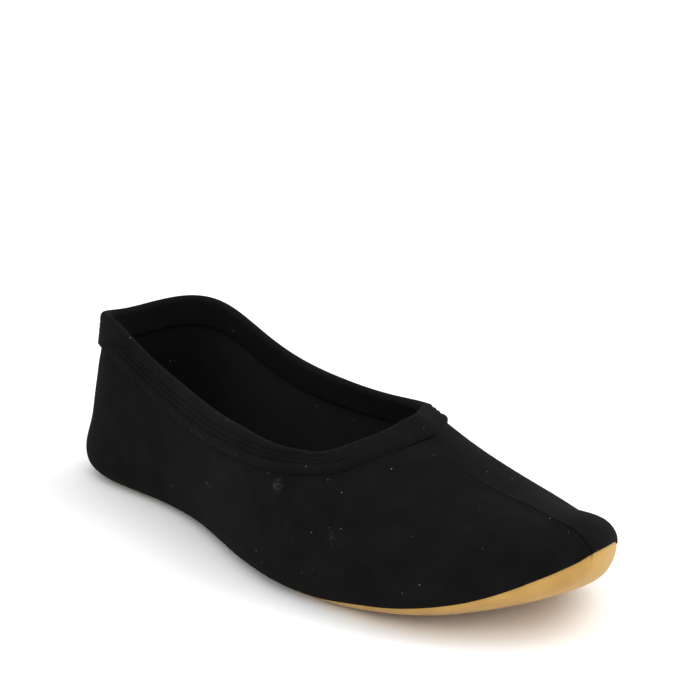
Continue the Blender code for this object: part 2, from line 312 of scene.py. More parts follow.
# %% Fine last
HEEL_STEPS = 10
OPEN_STEPS = 150
TOE_STEPS = 80
SEAM_STEPS = 52
# Start and end of each stretch round the shoe, and how many columns it has
COLUMN_STOPS = [
    (0.0, 0.015, HEEL_STEPS), (0.015, 0.41, OPEN_STEPS), (0.41, 0.484, TOE_STEPS),
    (0.484, 0.51, SEAM_STEPS), (0.51, 0.59, TOE_STEPS), (0.59, 0.985, OPEN_STEPS),
    (0.985, 1.0, HEEL_STEPS),
]
UPPER_ROWS = 76


def spread_over(stops):
    """Evenly spaced places over each stretch, up to but without the end of the last one."""
    return np.concatenate([np.linspace(start, end, count, endpoint=False) for start, end, count in stops])


rounds = np.append(spread_over(COLUMN_STOPS), 1.0)
downs = np.linspace(0, 1, UPPER_ROWS + 1)
last_columns = fine_columns(last_guide, downs)
last_places = column_places(last_columns)
last_sheet = fine_sheet(last_columns, last_places, rounds)
print("fine last:", last_sheet.shape[0], "by", last_sheet.shape[1], "points")

# %% [markdown]
# ## Where the sole seam lies
# The jersey is sewn to the sole along the lower edge of the last. On the photograph this seam dips a
# little at the ball and on the outer side of the toe, and climbs round the big toe. So each column of
# points is cut a little shorter there, or drawn out a little past the edge, and its points are spread
# out again. Edge Slide in Edit Mode would do it too, but a short list is easier to change.

# %% Dips and climbs of the sole seam
# Place round the shoe and how far the seam lies above the edge of the CAD wall, in millimetres
SEAM_LIFTS = [
    (0.28, 0.0), (0.31, -1.5), (0.36, -1.5), (0.385, 0.0), (0.44, 0.0), (0.46, -0.7), (0.475, -1.15),
    (0.485, -1.1), (0.5, -1.0), (0.505, -0.4), (0.51, 0.4), (0.515, 1.3), (0.52, 2.3), (0.527, 3.4),
    (0.54, 4.0), (0.56, 3.0), (0.6, 0.8), (0.64, 0.0),
]
DRAWN_ROWS = 4

seam_lift = np.interp(rounds, *zip(*SEAM_LIFTS)) * MM
drawn_out = last_sheet[:, -1:] + DRAWN_ROWS * (last_sheet[:, -1:] - last_sheet[:, -2:-1])
long_sheet = np.concatenate([last_sheet, drawn_out], axis=1)
for column, lift in enumerate(seam_lift):
    depth = run_length(long_sheet[column], 0)
    kept = depth[:-1] * (1 - lift / depth[-2])
    last_sheet[column] = read_along(long_sheet[column], depth, kept)
last_facing = facings(last_sheet)
print("sole seam moved by", round(seam_lift.min() / MM, 1), "to", round(seam_lift.max() / MM, 1), "mm")

# %% [markdown]
# ## From places to pieces
# A grid operator makes the quads and gives them a flat pattern, just as cloth is cut flat. Each vertex
# is then moved to its place on the slipper. Edges that meet, such as the two ends at the back of the
# heel, are merged. The flat pattern is kept as a UV map, so that a knit can follow the surface.

# %% Grids and pieces
PATTERN_SIZE = 600 * MM
GRID_HALF = 0.5
WELD = MERGE / 4


def lay_grid(places):
    """A grid of quads with a vertex at each place, and the lengths along it as a UV map."""
    columns, rows = places.shape[:2]
    pattern = np.stack([run_length(places, 0), run_length(places, 1)], axis=-1) / PATTERN_SIZE
    form = bmesh.new()
    flat = form.loops.layers.uv.new("pattern")
    bmesh.ops.create_grid(form, x_segments=columns - 1, y_segments=rows - 1, size=GRID_HALF)
    spots = {}
    for vertex in form.verts:
        column = round((vertex.co.x + GRID_HALF) * (columns - 1))
        row = round((vertex.co.y + GRID_HALF) * (rows - 1))
        spots[vertex] = column, row
        vertex.co = places[column, row]
    for face in form.faces:
        for corner in face.loops:
            corner[flat].uv = pattern[spots[corner.vert]]
    bmesh.ops.reverse_faces(form, faces=form.faces)
    bmesh.ops.remove_doubles(form, verts=form.verts, dist=WELD)
    return form


def make_piece(name, form, materials, stands_for=()):
    """Turns a bmesh into an object that rides on the slipper."""
    mesh = bpy.data.meshes.new(name)
    form.to_mesh(mesh)
    form.free()
    mesh.shade_smooth()
    for material in materials:
        mesh.materials.append(material)
    piece = bpy.data.objects.new(name, mesh)
    scene.collection.objects.link(piece)
    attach(piece, "root")
    if stands_for:
        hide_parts(*stands_for)
    print(name, len(mesh.polygons), "faces")
    return piece


def give_wall(piece, thickness):
    """Adds an inner face, which takes the second material."""
    wall = piece.modifiers.new("wall", "SOLIDIFY")
    wall.thickness = thickness
    wall.offset = -1.0
    wall.material_offset = 1


# %% [markdown]
# ## Jersey upper
# The upper is one piece of cotton jersey, closed over the toe by a turned seam: two soft lips with a
# valley between them. The elastic in the collar draws the cloth in round the heel, and it creases
# lightly above the sole at the ball. Each of these is a height in millimetres over the last, added
# along the outward direction. Sculpting could do it as well, but heights can be read and changed.

# %% Lengths on the upper
toe = int(np.abs(rounds - 0.5).argmin())
upper_depth = run_length(last_sheet, 1) / MM
upper_rise = upper_depth[:, -1:] - upper_depth
row_length = run_length(last_sheet, 0) / MM
from_heel = np.minimum(row_length, row_length[-1:] - row_length)


def hump(distance, width):
    """A soft hump: 1 in the middle and near 0 beyond twice the width."""
    return np.exp(-(distance / width) ** 2)


print("upper is", round(upper_depth.max()), "mm deep at most")

# %% Seam over the toe
# Depth below the collar, place of the seam round the shoe and how strongly it stands out
SEAM_STOPS = [
    (0.0, 0.4965, 0.0), (15.0, 0.4985, 0.15), (28.0, 0.5018, 0.35),
    (42.0, 0.5034, 0.8), (54.0, 0.5020, 1.0), (63.0, 0.4964, 1.0),
    (72.0, 0.4914, 1.0), (78.0, 0.4914, 1.0), (86.0, 0.4905, 0.9),
]
SEAM_LIP = 0.32
SEAM_LIP_PLACE = 0.85
SEAM_LIP_WIDTH = 0.7
SEAM_VALLEY = 0.42
SEAM_VALLEY_WIDTH = 0.4

stop_depths, stop_places, stop_strengths = (np.array(stops) for stops in zip(*SEAM_STOPS))
seam_place = smooth_through(stop_depths, stop_places, upper_depth[toe])
seam_strength = np.interp(upper_depth[toe], stop_depths, stop_strengths)
seam_run = np.array([np.interp(place, rounds, run) for place, run in zip(seam_place, row_length.T)])
side_of_seam = np.abs(row_length - seam_run)
lips = SEAM_LIP * hump(side_of_seam - SEAM_LIP_PLACE, SEAM_LIP_WIDTH)
valley = SEAM_VALLEY * hump(side_of_seam, SEAM_VALLEY_WIDTH)
toe_seam = (lips - valley) * seam_strength
print("toe seam stands", round(float(toe_seam.max()), 2), "mm proud")

# %% Heel, lower edge and unevenness
HEEL_SEAM = 0.3
HEEL_SEAM_LIP_PLACE = 1.1
HEEL_SEAM_LIP_WIDTH = 0.8
HEEL_SEAM_VALLEY_WIDTH = 0.6
DRAW_IN = 0.4
DRAW_IN_DEPTH = 12.5
DRAW_IN_WIDTH = 3.0
HEEL_HOLLOW = 0.9
HEEL_HOLLOW_DEPTH = 40.0
HEEL_HOLLOW_WIDTH = 8.5
HEEL_SPREAD = 48.0
EDGE_ROLL = 0.25
EDGE_ROLL_WIDTH = 1.0
UNEVEN = 0.22
UNEVEN_SIZE = 20 * MM


def rolling_noise(places, size):
    """Smooth unevenness from -1 to 1 with lumps of about the given size."""
    lumps = [noise.noise(Vector(place)) for place in places.reshape(-1, 3) / size]
    return np.array(lumps).reshape(places.shape[:-1])


heel_seam = hump(from_heel - HEEL_SEAM_LIP_PLACE, HEEL_SEAM_LIP_WIDTH)
heel_seam = HEEL_SEAM * (heel_seam - hump(from_heel, HEEL_SEAM_VALLEY_WIDTH))
at_heel = -HEEL_HOLLOW * hump(upper_depth - HEEL_HOLLOW_DEPTH, HEEL_HOLLOW_WIDTH)
at_heel -= DRAW_IN * hump(upper_depth - DRAW_IN_DEPTH, DRAW_IN_WIDTH)
at_heel *= hump(from_heel, HEEL_SPREAD)
rolled_edge = -EDGE_ROLL * hump(upper_rise, EDGE_ROLL_WIDTH)
uneven = UNEVEN * rolling_noise(last_sheet, UNEVEN_SIZE)
print("heel is drawn in by up to", round(float(-at_heel.min()), 2), "mm")

# %% Creases at the ball
# Start and end of each crease, as places round the shoe and down the wall
BALL_CREASES = [
    ((0.386, 0.618), (0.407, 0.645)),
    ((0.397, 0.697), (0.415, 0.737)),
    ((0.402, 0.763), (0.415, 0.816)),
    ((0.416, 0.763), (0.426, 0.829)),
    ((0.417, 0.842), (0.425, 0.908)),
    ((0.381, 0.750), (0.394, 0.776)),
    ((0.373, 0.671), (0.389, 0.697)),
]
CREASE_DEPTH = 0.34
CREASE_WIDTH = 0.9
CREASE_STEPS = 24


def on_last(place):
    """The point of the last at a place round the shoe and down the wall."""
    column = np.abs(rounds - place[0]).argmin()
    row = np.abs(downs - place[1]).argmin()
    return last_sheet[column, row]


def crease(start, end):
    """A soft trough along the straight line between two places, fading out at both ends."""
    share = np.linspace(0, 1, CREASE_STEPS)[:, None]
    line = on_last(start) * (1 - share) + on_last(end) * share
    away = np.linalg.norm(last_sheet[:, :, None] - line, axis=-1) / MM
    fade = np.sin(math.pi * (away.argmin(axis=-1) + 0.5) / CREASE_STEPS)
    return hump(away.min(axis=-1), CREASE_WIDTH) * fade


ball_creases = -CREASE_DEPTH * sum(crease(start, end) for start, end in BALL_CREASES)
print(len(BALL_CREASES), "creases at the ball")

# %% Fullness of the toe
# Middle of each soft swelling or hollow, its height and its width in millimetres
TOE_FORMS = [((0.532, 0.93), 1.0, 7.5), ((0.545, 0.78), -0.9, 12.0), ((0.55, 1.0), -1.2, 6.0)]

toe_forms = np.zeros_like(upper_depth)
for middle, height, width in TOE_FORMS:
    away = np.linalg.norm(last_sheet - on_last(middle), axis=-1) / MM
    toe_forms += height * hump(away, width)
print("toe is shaped by", round(toe_forms.min(), 1), "to", round(toe_forms.max(), 1), "mm")

# %% [markdown]
# ## Effects that several materials share
# Jersey is a field of small loops in columns, and both the upper and the collar casing are cut from
# it. The loops are a shader node group, built once: it takes places on the flat pattern and puts out
# a height. A second group scatters specks of lint, which black cotton always picks up, and a third
# draws one tuft of fluff. Groups put out only values that change over the surface, and the shader
# itself stays in the material.

# %% Helpers for finishes
VECTOR = "NodeSocketVector"
FLOAT = "NodeSocketFloat"
# Sockets of a Mix node that hold its factor, its two colours and the mixed colour
MIX_FACTOR = 0
MIX_COLOURS = (6, 7)
MIX_RESULT = 2


def new_group(name, inputs, output):
    """A group with named inputs and one output, and the sockets inside it."""
    group = bpy.data.node_groups.new(name, "ShaderNodeTree")
    for title, kind in inputs:
        group.interface.new_socket(name=title, in_out="INPUT", socket_type=kind)
    group.interface.new_socket(name=output, in_out="OUTPUT", socket_type=FLOAT)
    return group, group.nodes.new("NodeGroupInput").outputs, group.nodes.new("NodeGroupOutput").inputs


def math_node(tree, operation, first, second=0.0):
    return add(tree, "ShaderNodeMath", {0: first, 1: second}, operation=operation).outputs[0]


def ramp(tree, value, low, high):
    """Runs from 0 at low to 1 at high, and stops at both."""
    return add(tree, "ShaderNodeMapRange", {0: value, 1: low, 2: high}).outputs[0]


def noise_field(tree, vector, size, **sockets):
    """Smooth unevenness with lumps of about the given size."""
    sockets.update(Vector=vector, Scale=1 / size)
    return add(tree, "ShaderNodeTexNoise", sockets).outputs["Fac"]


def mix_colour(tree, factor, first, second):
    """Mixes two colours, each a triple or a socket."""
    sockets = {MIX_FACTOR: factor}
    for place, colour in zip(MIX_COLOURS, (first, second)):
        linked = isinstance(colour, bpy.types.NodeSocket)
        sockets[place] = colour if linked else (*colour, 1.0)
    return add(tree, "ShaderNodeMix", sockets, data_type="RGBA").outputs[MIX_RESULT]


def give_relief(tree, shader, height, strength, depth):
    """Lets a height bend the light on a surface, as bumps of the given depth would."""
    bumps = add(tree, "ShaderNodeBump", {"Height": height, "Strength": strength, "Distance": depth})
    tree.links.new(bumps.outputs["Normal"], shader.inputs["Normal"])


# %% Knitted loops
LOOP_DEPTH = 0.35


def knit_group():
    """Slanted loops in columns; Columns and Rows count them over the whole pattern."""
    group, given, result = new_group(
        "jersey_knit", [("Pattern", VECTOR), ("Columns", FLOAT), ("Rows", FLOAT)], "Height")
    flat = add(group, "ShaderNodeSeparateXYZ", {0: given["Pattern"]}).outputs
    across = math_node(group, "FRACT", math_node(group, "MULTIPLY", flat["X"], given["Columns"]))
    leg = math_node(group, "ABSOLUTE", math_node(group, "SUBTRACT", across, 0.5))
    slanted = math_node(group, "ADD", math_node(group, "MULTIPLY", flat["Y"], given["Rows"]), leg)
    loop = math_node(group, "SINE", math_node(group, "MULTIPLY", slanted, math.tau))
    column = math_node(group, "SINE", math_node(group, "MULTIPLY", leg, math.tau))
    shaped = math_node(group, "ADD", math_node(group, "MULTIPLY", loop, LOOP_DEPTH), 1 - LOOP_DEPTH)
    group.links.new(math_node(group, "MULTIPLY", column, shaped), result["Height"])
    return group


knit = knit_group()
print("group", knit.name)

# %% Lint and fluff
MOSTLY_FAINT = 3.0
TUFT_FADE = (1.0, 0.3)
STRAND_SIZE = 0.8 * MM
STRAND_TANGLE = 1.5
STRAND_RANGE = (0.5, 0.64)


def lint_group():
    """Round specks of many sizes, most of them faint; Share is how many cells hold one."""
    group, given, result = new_group(
        "lint", [("Vector", VECTOR), ("Scale", FLOAT), ("Radius", FLOAT), ("Share", FLOAT)], "Mask")
    sockets = {"Vector": given["Vector"], "Scale": given["Scale"]}
    cells = add(group, "ShaderNodeTexVoronoi", sockets).outputs
    chance = add(group, "ShaderNodeSeparateColor", {0: cells["Color"]}).outputs
    chosen = math_node(group, "LESS_THAN", chance["Red"], given["Share"])
    reach = math_node(group, "MULTIPLY", given["Radius"], chance["Green"])
    near = math_node(group, "LESS_THAN", cells["Distance"], reach)
    shown = math_node(group, "MULTIPLY", chosen, near)
    pale = math_node(group, "POWER", chance["Blue"], MOSTLY_FAINT)
    group.links.new(math_node(group, "MULTIPLY", shown, pale), result["Mask"])
    return group


def tuft_group():
    """A patch of tangled strands round one place, fading towards its radius."""
    group, given, result = new_group(
        "lint_tuft", [("Vector", VECTOR), ("Place", VECTOR), ("Radius", FLOAT)], "Mask")
    ends = {0: given["Vector"], 1: given["Place"]}
    away = add(group, "ShaderNodeVectorMath", ends, operation="DISTANCE").outputs["Value"]
    near = ramp(group, math_node(group, "DIVIDE", away, given["Radius"]), *TUFT_FADE)
    fluff = noise_field(group, given["Vector"], STRAND_SIZE, Distortion=STRAND_TANGLE)
    strands = ramp(group, fluff, *STRAND_RANGE)
    group.links.new(math_node(group, "MULTIPLY", near, strands), result["Mask"])
    return group


lint = lint_group()
tuft = tuft_group()
print("groups", lint.name, "and", tuft.name)

# %% [markdown]
# ## Black jersey
# Black cotton is never quite black: it is a very dark warm grey that pales where it is brushed and
# where light grazes its short fibres. The sheen socket gives the grazing light. Loops modelled one by
# one would take millions of faces, so loops and fibres are bump. Slow changes of tone and the lint are
# colour.

# %% Jersey material
BLACK = (0.0056, 0.0054, 0.0054)
PALER = (0.0072, 0.0070, 0.0070)
JERSEY_ROUGHNESS = 0.92
SHEEN_ROUGHNESS = 0.45
JERSEY_RELIEF = 0.6
FIBRE_SIZE = 0.7 * MM
FIBRE_HEIGHT = 1.6
BRUSHED_SIZE = 9 * MM
BRUSHED_RANGE = (0.35, 0.7)
LINT_COLOUR = (0.26, 0.26, 0.25)
LINT_SPACING = 3.0 * MM
LINT_RADIUS = 0.08
LINT_SHARE = 0.9
# Tufts of fluff on the outer side: place and radius in millimetres, and how pale
TUFTS = [
    ((20.5, -38.0, 33.7), 2.8, 0.14), ((14.6, -37.0, 36.5), 1.5, 0.06), ((47.6, -38.4, 24.4), 2.2, 0.05),
    ((29.0, -41.2, 24.3), 2.2, 0.03), ((32.6, -42.2, 19.4), 1.8, 0.02), ((51.9, -38.4, 22.6), 1.4, 0.03),
]


def jersey(name, wale, course, relief_depth, gloss, sheen, tufts=()):
    """Knitted cotton with loops one wale wide and one course high, in millimetres."""
    material, tree, shader = new_material(
        name, BLACK, JERSEY_ROUGHNESS,
        Sheen_Weight=sheen, Sheen_Roughness=SHEEN_ROUGHNESS, Specular_IOR_Level=gloss)
    spot = add(tree, "ShaderNodeTexCoord").outputs
    loops = add(tree, "ShaderNodeGroup", node_tree=knit, sockets={
        "Pattern": spot["UV"],
        "Columns": PATTERN_SIZE / (wale * MM),
        "Rows": PATTERN_SIZE / (course * MM),
    })
    fibres = math_node(tree, "MULTIPLY", noise_field(tree, spot["Object"], FIBRE_SIZE), FIBRE_HEIGHT)
    height = math_node(tree, "ADD", loops.outputs["Height"], fibres)
    give_relief(tree, shader, height, JERSEY_RELIEF, relief_depth * MM)
    brushed = ramp(tree, noise_field(tree, spot["Object"], BRUSHED_SIZE), *BRUSHED_RANGE)
    colour = mix_colour(tree, brushed, BLACK, PALER)
    specks = add(tree, "ShaderNodeGroup", node_tree=lint, sockets={
        "Vector": spot["Object"], "Scale": 1 / LINT_SPACING, "Radius": LINT_RADIUS, "Share": LINT_SHARE,
    })
    colour = mix_colour(tree, specks.outputs["Mask"], colour, LINT_COLOUR)
    for place, radius, pale in tufts:
        fluff = add(tree, "ShaderNodeGroup", node_tree=tuft, sockets={
            "Vector": spot["Object"], "Place": Vector(place) * MM, "Radius": radius * MM,
        })
        shown = math_node(tree, "MULTIPLY", fluff.outputs["Mask"], pale)
        colour = mix_colour(tree, shown, colour, LINT_COLOUR)
    tree.links.new(colour, shader.inputs["Base Color"])
    return material


upper_jersey = jersey(
    "black_jersey", wale=0.75, course=0.6, relief_depth=0.08, gloss=0.01, sheen=0.012, tufts=TUFTS)
casing_jersey = jersey("casing_jersey", wale=0.75, course=0.5, relief_depth=0.10, gloss=0.018, sheen=0.008)
lining_jersey = jersey("lining_jersey", wale=0.9, course=0.7, relief_depth=0.12, gloss=0.03, sheen=0.04)
print("jersey materials ready")

# %% [markdown]
# ## The upper as a piece
# All heights are added up, and a Solidify modifier gives the cloth its thickness towards the inside,
# where it shows its lining face. A second sheet could be modelled, but the modifier keeps the two
# faces an even distance apart.

# %% Make the upper
upper_height = WALL / MM + toe_seam + heel_seam + at_heel + rolled_edge + uneven + ball_creases + toe_forms
upper_places = last_sheet + last_facing * (upper_height * MM)[..., None]
upper_form = lay_grid(upper_places)
upper = make_piece("jersey_upper", upper_form, [upper_jersey, lining_jersey], ["upper"])
give_wall(upper, WALL)

# %% [markdown]
# ## Collar casing
# The collar is a casing for the elastic: jersey folded over the edge and stitched down in three rows.
# The elastic gathers it, so the ribs between the rows crinkle and the lower hem puffs up. A profile
# of depth and distance from the last is swept round the collar; a curve with a bevel object could do
# the same, but it couldn't follow the slope of the wall.

# %% Collar columns
CASING_COLUMNS = 900
CASING_REACH = 0.32
CASING_ROWS = 40

casing_rounds = np.linspace(0, 1, CASING_COLUMNS + 1)
collar_columns = fine_columns(last_guide, np.linspace(0, CASING_REACH, CASING_ROWS + 1))
collar_sheet = fine_sheet(collar_columns, column_places(collar_columns), casing_rounds)
collar_facing = facings(collar_sheet)
collar_depth = run_length(collar_sheet, 1) / MM
collar_run = run_length(collar_sheet, 0)[:, 0] / MM
collar_up = unit(collar_sheet[:, 0] - collar_sheet[:, 1])


def off_the_collar(depths, outs):
    """Points at depths below the wall's top edge and distances out from the last, in millimetres."""
    places = np.empty((*depths.shape, 3))
    for i, depth in enumerate(depths):
        under = np.clip(depth, 0, None)
        over = np.clip(-depth, 0, None)[:, None]
        base = read_along(collar_sheet[i], collar_depth[i], under)
        face = read_along(collar_facing[i], collar_depth[i], under)
        places[i] = base + face * outs[i][:, None] * MM + collar_up[i] * over * MM
    return places


print("collar is", round(collar_run[-1]), "mm round")

# %% Profile of the casing
# Each list of stops gives a place from the heel, 0, to the toe, 0.5, and what holds there
# Width of the outer face, height of the puffed hem and depth of the stitched grooves, in millimetres
WIDTH_STOPS = [(0.0, 12.2), (0.1, 12.6), (0.25, 12.8), (0.33, 12.0), (0.39, 11.0), (0.45, 9.8), (0.5, 8.8)]
HEM_STOPS = [(0.0, 0.05), (0.06, 0.1), (0.16, 0.5), (0.4, 0.5), (0.45, 0.1), (0.5, 0.0)]
GROOVE_STOPS = [(0.0, 0.55), (0.36, 0.55), (0.43, 0.25), (0.46, 0.1), (0.5, 0.08)]
# Share of the width below which the hem is tucked in
TUCK_STOPS = [(0.0, 0.9), (0.42, 0.9), (0.47, 0.76), (0.5, 0.76)]
CASING_OUTER = 2.4
CASING_INNER = -1.2
CASING_INNER_WIDTH = 10.5
CROWN_RISE = 1.2
STITCH_ROWS = (0.30, 0.46, 0.62)
STITCH_GROOVE_WIDTH = 0.45
FACE_STEPS = 36
CROWN_STEPS = 12

half_rounds = np.minimum(casing_rounds, 1 - casing_rounds)
casing_width, hem_puff, groove_depth, tuck_from = (
    np.interp(half_rounds, *zip(*stops))[:, None]
    for stops in (WIDTH_STOPS, HEM_STOPS, GROOVE_STOPS, TUCK_STOPS))
every_column = np.ones_like(casing_width)
crown_radius = (CASING_OUTER - CASING_INNER) / 2
crown_middle = (CASING_OUTER + CASING_INNER) / 2
crown_turn = every_column * np.linspace(0, math.pi, CROWN_STEPS + 1)[1:-1]
crown_out = crown_middle + crown_radius * np.cos(crown_turn)
crown_depth = crown_radius - CROWN_RISE - crown_radius * np.sin(crown_turn)
face_share = 1 - np.linspace(0, 1, FACE_STEPS) * (1 - crown_radius / casing_width)
face_depth = face_share * casing_width - CROWN_RISE
grooves = sum(hump((face_share - row) * casing_width, STITCH_GROOVE_WIDTH) for row in STITCH_ROWS)
tuck = np.clip((face_share - tuck_from) / (1 - tuck_from), 0, 1) ** 2
print("casing is", casing_width.min(), "to", casing_width.max(), "mm wide")

# %% Smooth end of the casing
# Near the heel the casing's end lies smooth: depth of its edge, and where it lies round the shoe
OVERLAP_EDGE = [(0.0, 0.123), (0.9, 0.112), (3.4, 0.099), (6.0, 0.086), (8.5, 0.073), (11.8, 0.060)]
OVERLAP_FROM = 0.025
OVERLAP_SOFT = 1.5
OVERLAP_SMOOTHS = 0.8

to_edge = (np.interp(face_depth, *zip(*OVERLAP_EDGE)) - casing_rounds[:, None]) * collar_run[-1]
overlap = np.clip(to_edge / OVERLAP_SOFT + 0.5, 0, 1)
overlap *= np.clip(casing_rounds / OVERLAP_FROM - 1, 0, 1)[:, None]
plain = 1 - OVERLAP_SMOOTHS * overlap
print("smooth end is", round(np.ptp(casing_rounds[overlap.max(axis=1) > 0.5]) * collar_run[-1]), "mm long")

# %% Gathers of the casing
# Length and height of the coarse and the fine gathers, strongest on the hem and calm at the throat
GATHERS = [(2.4, 0.24), (1.2, 0.12)]
GATHER_STRETCH = 0.6
GATHER_CALM = 0.3
RIB_GATHER = 0.35
HEM_FADE = 0.08
THROAT_WIDTH = 0.10


def gathers(length, height):
    """Uneven ripples over the outer face of the casing."""
    return height * np.array([
        [noise.noise(Vector((run / length, depth / length * GATHER_STRETCH, length))) for depth in depths]
        for run, depths in zip(collar_run, face_depth)
    ])


at_throat = hump(half_rounds - 0.5, THROAT_WIDTH)[:, None]
calm = GATHER_CALM + (1 - GATHER_CALM) * (1 - at_throat)
on_hem = RIB_GATHER + (1 - RIB_GATHER) * np.clip((face_share - STITCH_ROWS[-1]) / HEM_FADE, 0, 1)
crinkle = sum(gathers(length, height) for length, height in GATHERS)
crinkle *= calm * on_hem * plain * (1 - grooves) * (1 - tuck)
print("gathers stand up to", round(crinkle.max(), 2), "mm proud")

# %% Outer face of the casing
HEM_PLACE = 0.82
HEM_WIDTH = 0.13
HEM_TUCK = 1.25
THROAT_BULGE = 0.6
OVERLAP_CREASE = 0.45
OVERLAP_CREASE_WIDTH = 0.8

face_out = CASING_OUTER - groove_depth * grooves * plain
face_out += hem_puff * hump(face_share - HEM_PLACE, HEM_WIDTH) * plain - HEM_TUCK * tuck
face_out += THROAT_BULGE * at_throat * np.sin(math.pi * face_share)
face_out += crinkle
face_out -= OVERLAP_CREASE * hump(to_edge, OVERLAP_CREASE_WIDTH)
print("outer face lies", round(face_out.min(), 1), "to", round(face_out.max(), 1), "mm off the last")

# %% Sweep the casing
INNER_STEPS = 12
SLOT_GAP = 0.3
# The far side of the throat stands up a little
THROAT_LIFT = 2.4
THROAT_LIFT_PLACE = 0.505
THROAT_LIFT_WIDTH = 0.022

inner_ends = crown_radius - CROWN_RISE, CASING_INNER_WIDTH - CROWN_RISE
inner_depth = every_column * np.linspace(*inner_ends, INNER_STEPS)
inner_out = np.full_like(inner_depth, CASING_INNER)
slot_top = every_column * -CROWN_RISE / 2
slot_end = face_depth[:, :1] - SLOT_GAP
slot_depth = np.concatenate([inner_depth[:, -1:], slot_top, slot_top, slot_end, face_depth[:, :1]], axis=1)
slot_inside = every_column * -SLOT_GAP
slot_outside = every_column * (WALL / MM + SLOT_GAP)
slot_out = np.concatenate(
    [slot_inside, slot_inside, slot_outside, slot_outside, face_out[:, :1]], axis=1)
casing_depths = np.concatenate([face_depth, crown_depth, inner_depth, slot_depth], axis=1)
casing_outs = np.concatenate([face_out, crown_out, inner_out, slot_out], axis=1)
casing_places = off_the_collar(casing_depths, casing_outs)
throat_lift = THROAT_LIFT * hump(casing_rounds - THROAT_LIFT_PLACE, THROAT_LIFT_WIDTH)[:, None]
casing_places[..., 2] += throat_lift * np.clip(1 - casing_depths / CASING_INNER_WIDTH, 0, 1) * MM
casing_form = lay_grid(casing_places[:, ::-1])
make_piece("collar_casing", casing_form, [casing_jersey], ["collar_band"])

# %% [markdown]
# ## Rows of stitches
# Three rows of black thread hold the casing down. Every stitch is a small flattened ball, made by one
# operator and turned to lie along its row. Bump could hint at them, but it would be lost in the mesh.
# A few hundred of them need only a few dozen faces each, and the twist of the thread is bump. Its
# colour is painted shade, darker where the bump of the twist is low.

# %% Thread material
THREAD = (0.015, 0.015, 0.015)
# Painted shade where the bump of the twist is low
THREAD_TWIST_SHADE = (0.009, 0.009, 0.009)
THREAD_ROUGHNESS = 0.55
TWIST_SIZE = 0.18 * MM
TWIST_RELIEF = 0.5
TWIST_DEPTH = 0.05 * MM

thread, tree, shader = new_material("black_thread", THREAD, THREAD_ROUGHNESS)
twist = noise_field(tree, add(tree, "ShaderNodeTexCoord").outputs["Object"], TWIST_SIZE)
give_relief(tree, shader, twist, TWIST_RELIEF, TWIST_DEPTH)
# Painted shade: the thread is darker where its twist bump is low
tree.links.new(mix_colour(tree, twist, THREAD_TWIST_SHADE, THREAD), shader.inputs["Base Color"])
print("thread ready")

# %% Stitches
STITCH_PITCH = 2.4
STITCH_LENGTH = 1.7
STITCH_THICKNESS = 0.30
STITCH_SUNK = 0.16
STITCH_SIDES = 6
STITCH_RINGS = 5
# Row of the collar sheet whose outward direction the stitches take
STITCH_FACING_ROW = 8


def stitch_row(form, places, facing, shown):
    """Stitches at even steps along a closed row of places, where they are shown."""
    run = run_length(places, 0) / MM
    count = round(run[-1] / STITCH_PITCH)
    spots = (np.arange(count) + 0.5) / count * run[-1]
    spots = spots[np.interp(spots, run, shown) > 0.5]
    size = Matrix.Diagonal((STITCH_LENGTH, STITCH_THICKNESS, STITCH_THICKNESS, 1.0))
    for spot in spots:
        back = Vector(read_along(places, run, spot - STITCH_LENGTH / 4))
        front = Vector(read_along(places, run, spot + STITCH_LENGTH / 4))
        along = (front - back).normalized()
        across = Vector(read_along(facing, run, spot)).cross(along).normalized()
        out = along.cross(across)
        turn = Matrix((along, across, out)).transposed().to_4x4()
        middle = (back + front) / 2 - out * STITCH_SUNK * MM
        bmesh.ops.create_uvsphere(
            form, u_segments=STITCH_SIDES, v_segments=STITCH_RINGS, radius=MM / 2,
            matrix=Matrix.Translation(middle) @ turn @ size)
    return len(spots)


thread_form = bmesh.new()
columns = np.arange(len(casing_rounds))
stitches = 0
for row in STITCH_ROWS:
    nearest = np.abs(face_share - row).argmin(axis=1)
    row_places = casing_places[columns, nearest]
    row_facing = collar_facing[:, STITCH_FACING_ROW]
    stitches += stitch_row(thread_form, row_places, row_facing, 1 - overlap[columns, nearest])
make_piece("collar_stitches", thread_form, [thread])
print(stitches, "stitches")

# %% [markdown]
# ## Suede sole
# The sole is one soft honey-coloured piece. It shows as a thin edge along the ball and as a cup round
# the toe, where it is gathered into the seam. Guide points are found by shooting rays at the CAD sole
# from outside, along lines that sweep from the seam down to the middle of the underside. Shrinkwrap
# could find them as well, but rays keep the rows in order. The same splines as for the upper then make
# the sole smooth.

# %% Guide points of the sole
SOLE_GUIDE_ROWS = 14
SOLE_GUIDE_SPREAD = 1.4
SPINE_BACK = -100 * MM
SPINE_FRONT = 84 * MM
HUB_HEIGHT = 14 * MM
SEAM_GAP = 0.3 * MM
RAY_START = 200 * MM

sole_form = merged_copy("sole")
sole_skin = BVHTree.FromBMesh(sole_form)
sole_form.free()
guide_facing = facings(np.concatenate([last_guide, last_guide[:1]]))[:-1]
seam_edge = last_guide[:, -1] + guide_facing[:, -1] * WALL
seam_down = unit(last_guide[:, -1] - last_guide[:, -2])
aim = seam_edge + seam_down * SEAM_GAP
sole_rim = np.array([sole_skin.find_nearest(Vector(spot))[0] for spot in aim])
middles = (sole_rim + np.concatenate([sole_rim[:1], sole_rim[:0:-1]])) / 2
middle_line = middles[np.argsort(middles[:, 0])]


def on_spine(along):
    """Places on the middle line of the underside, which ends short of the heel and of the toe."""
    along = np.clip(along, SPINE_BACK, SPINE_FRONT)
    return np.stack([along, np.interp(along, middle_line[:, 0], middle_line[:, 1])], axis=-1)


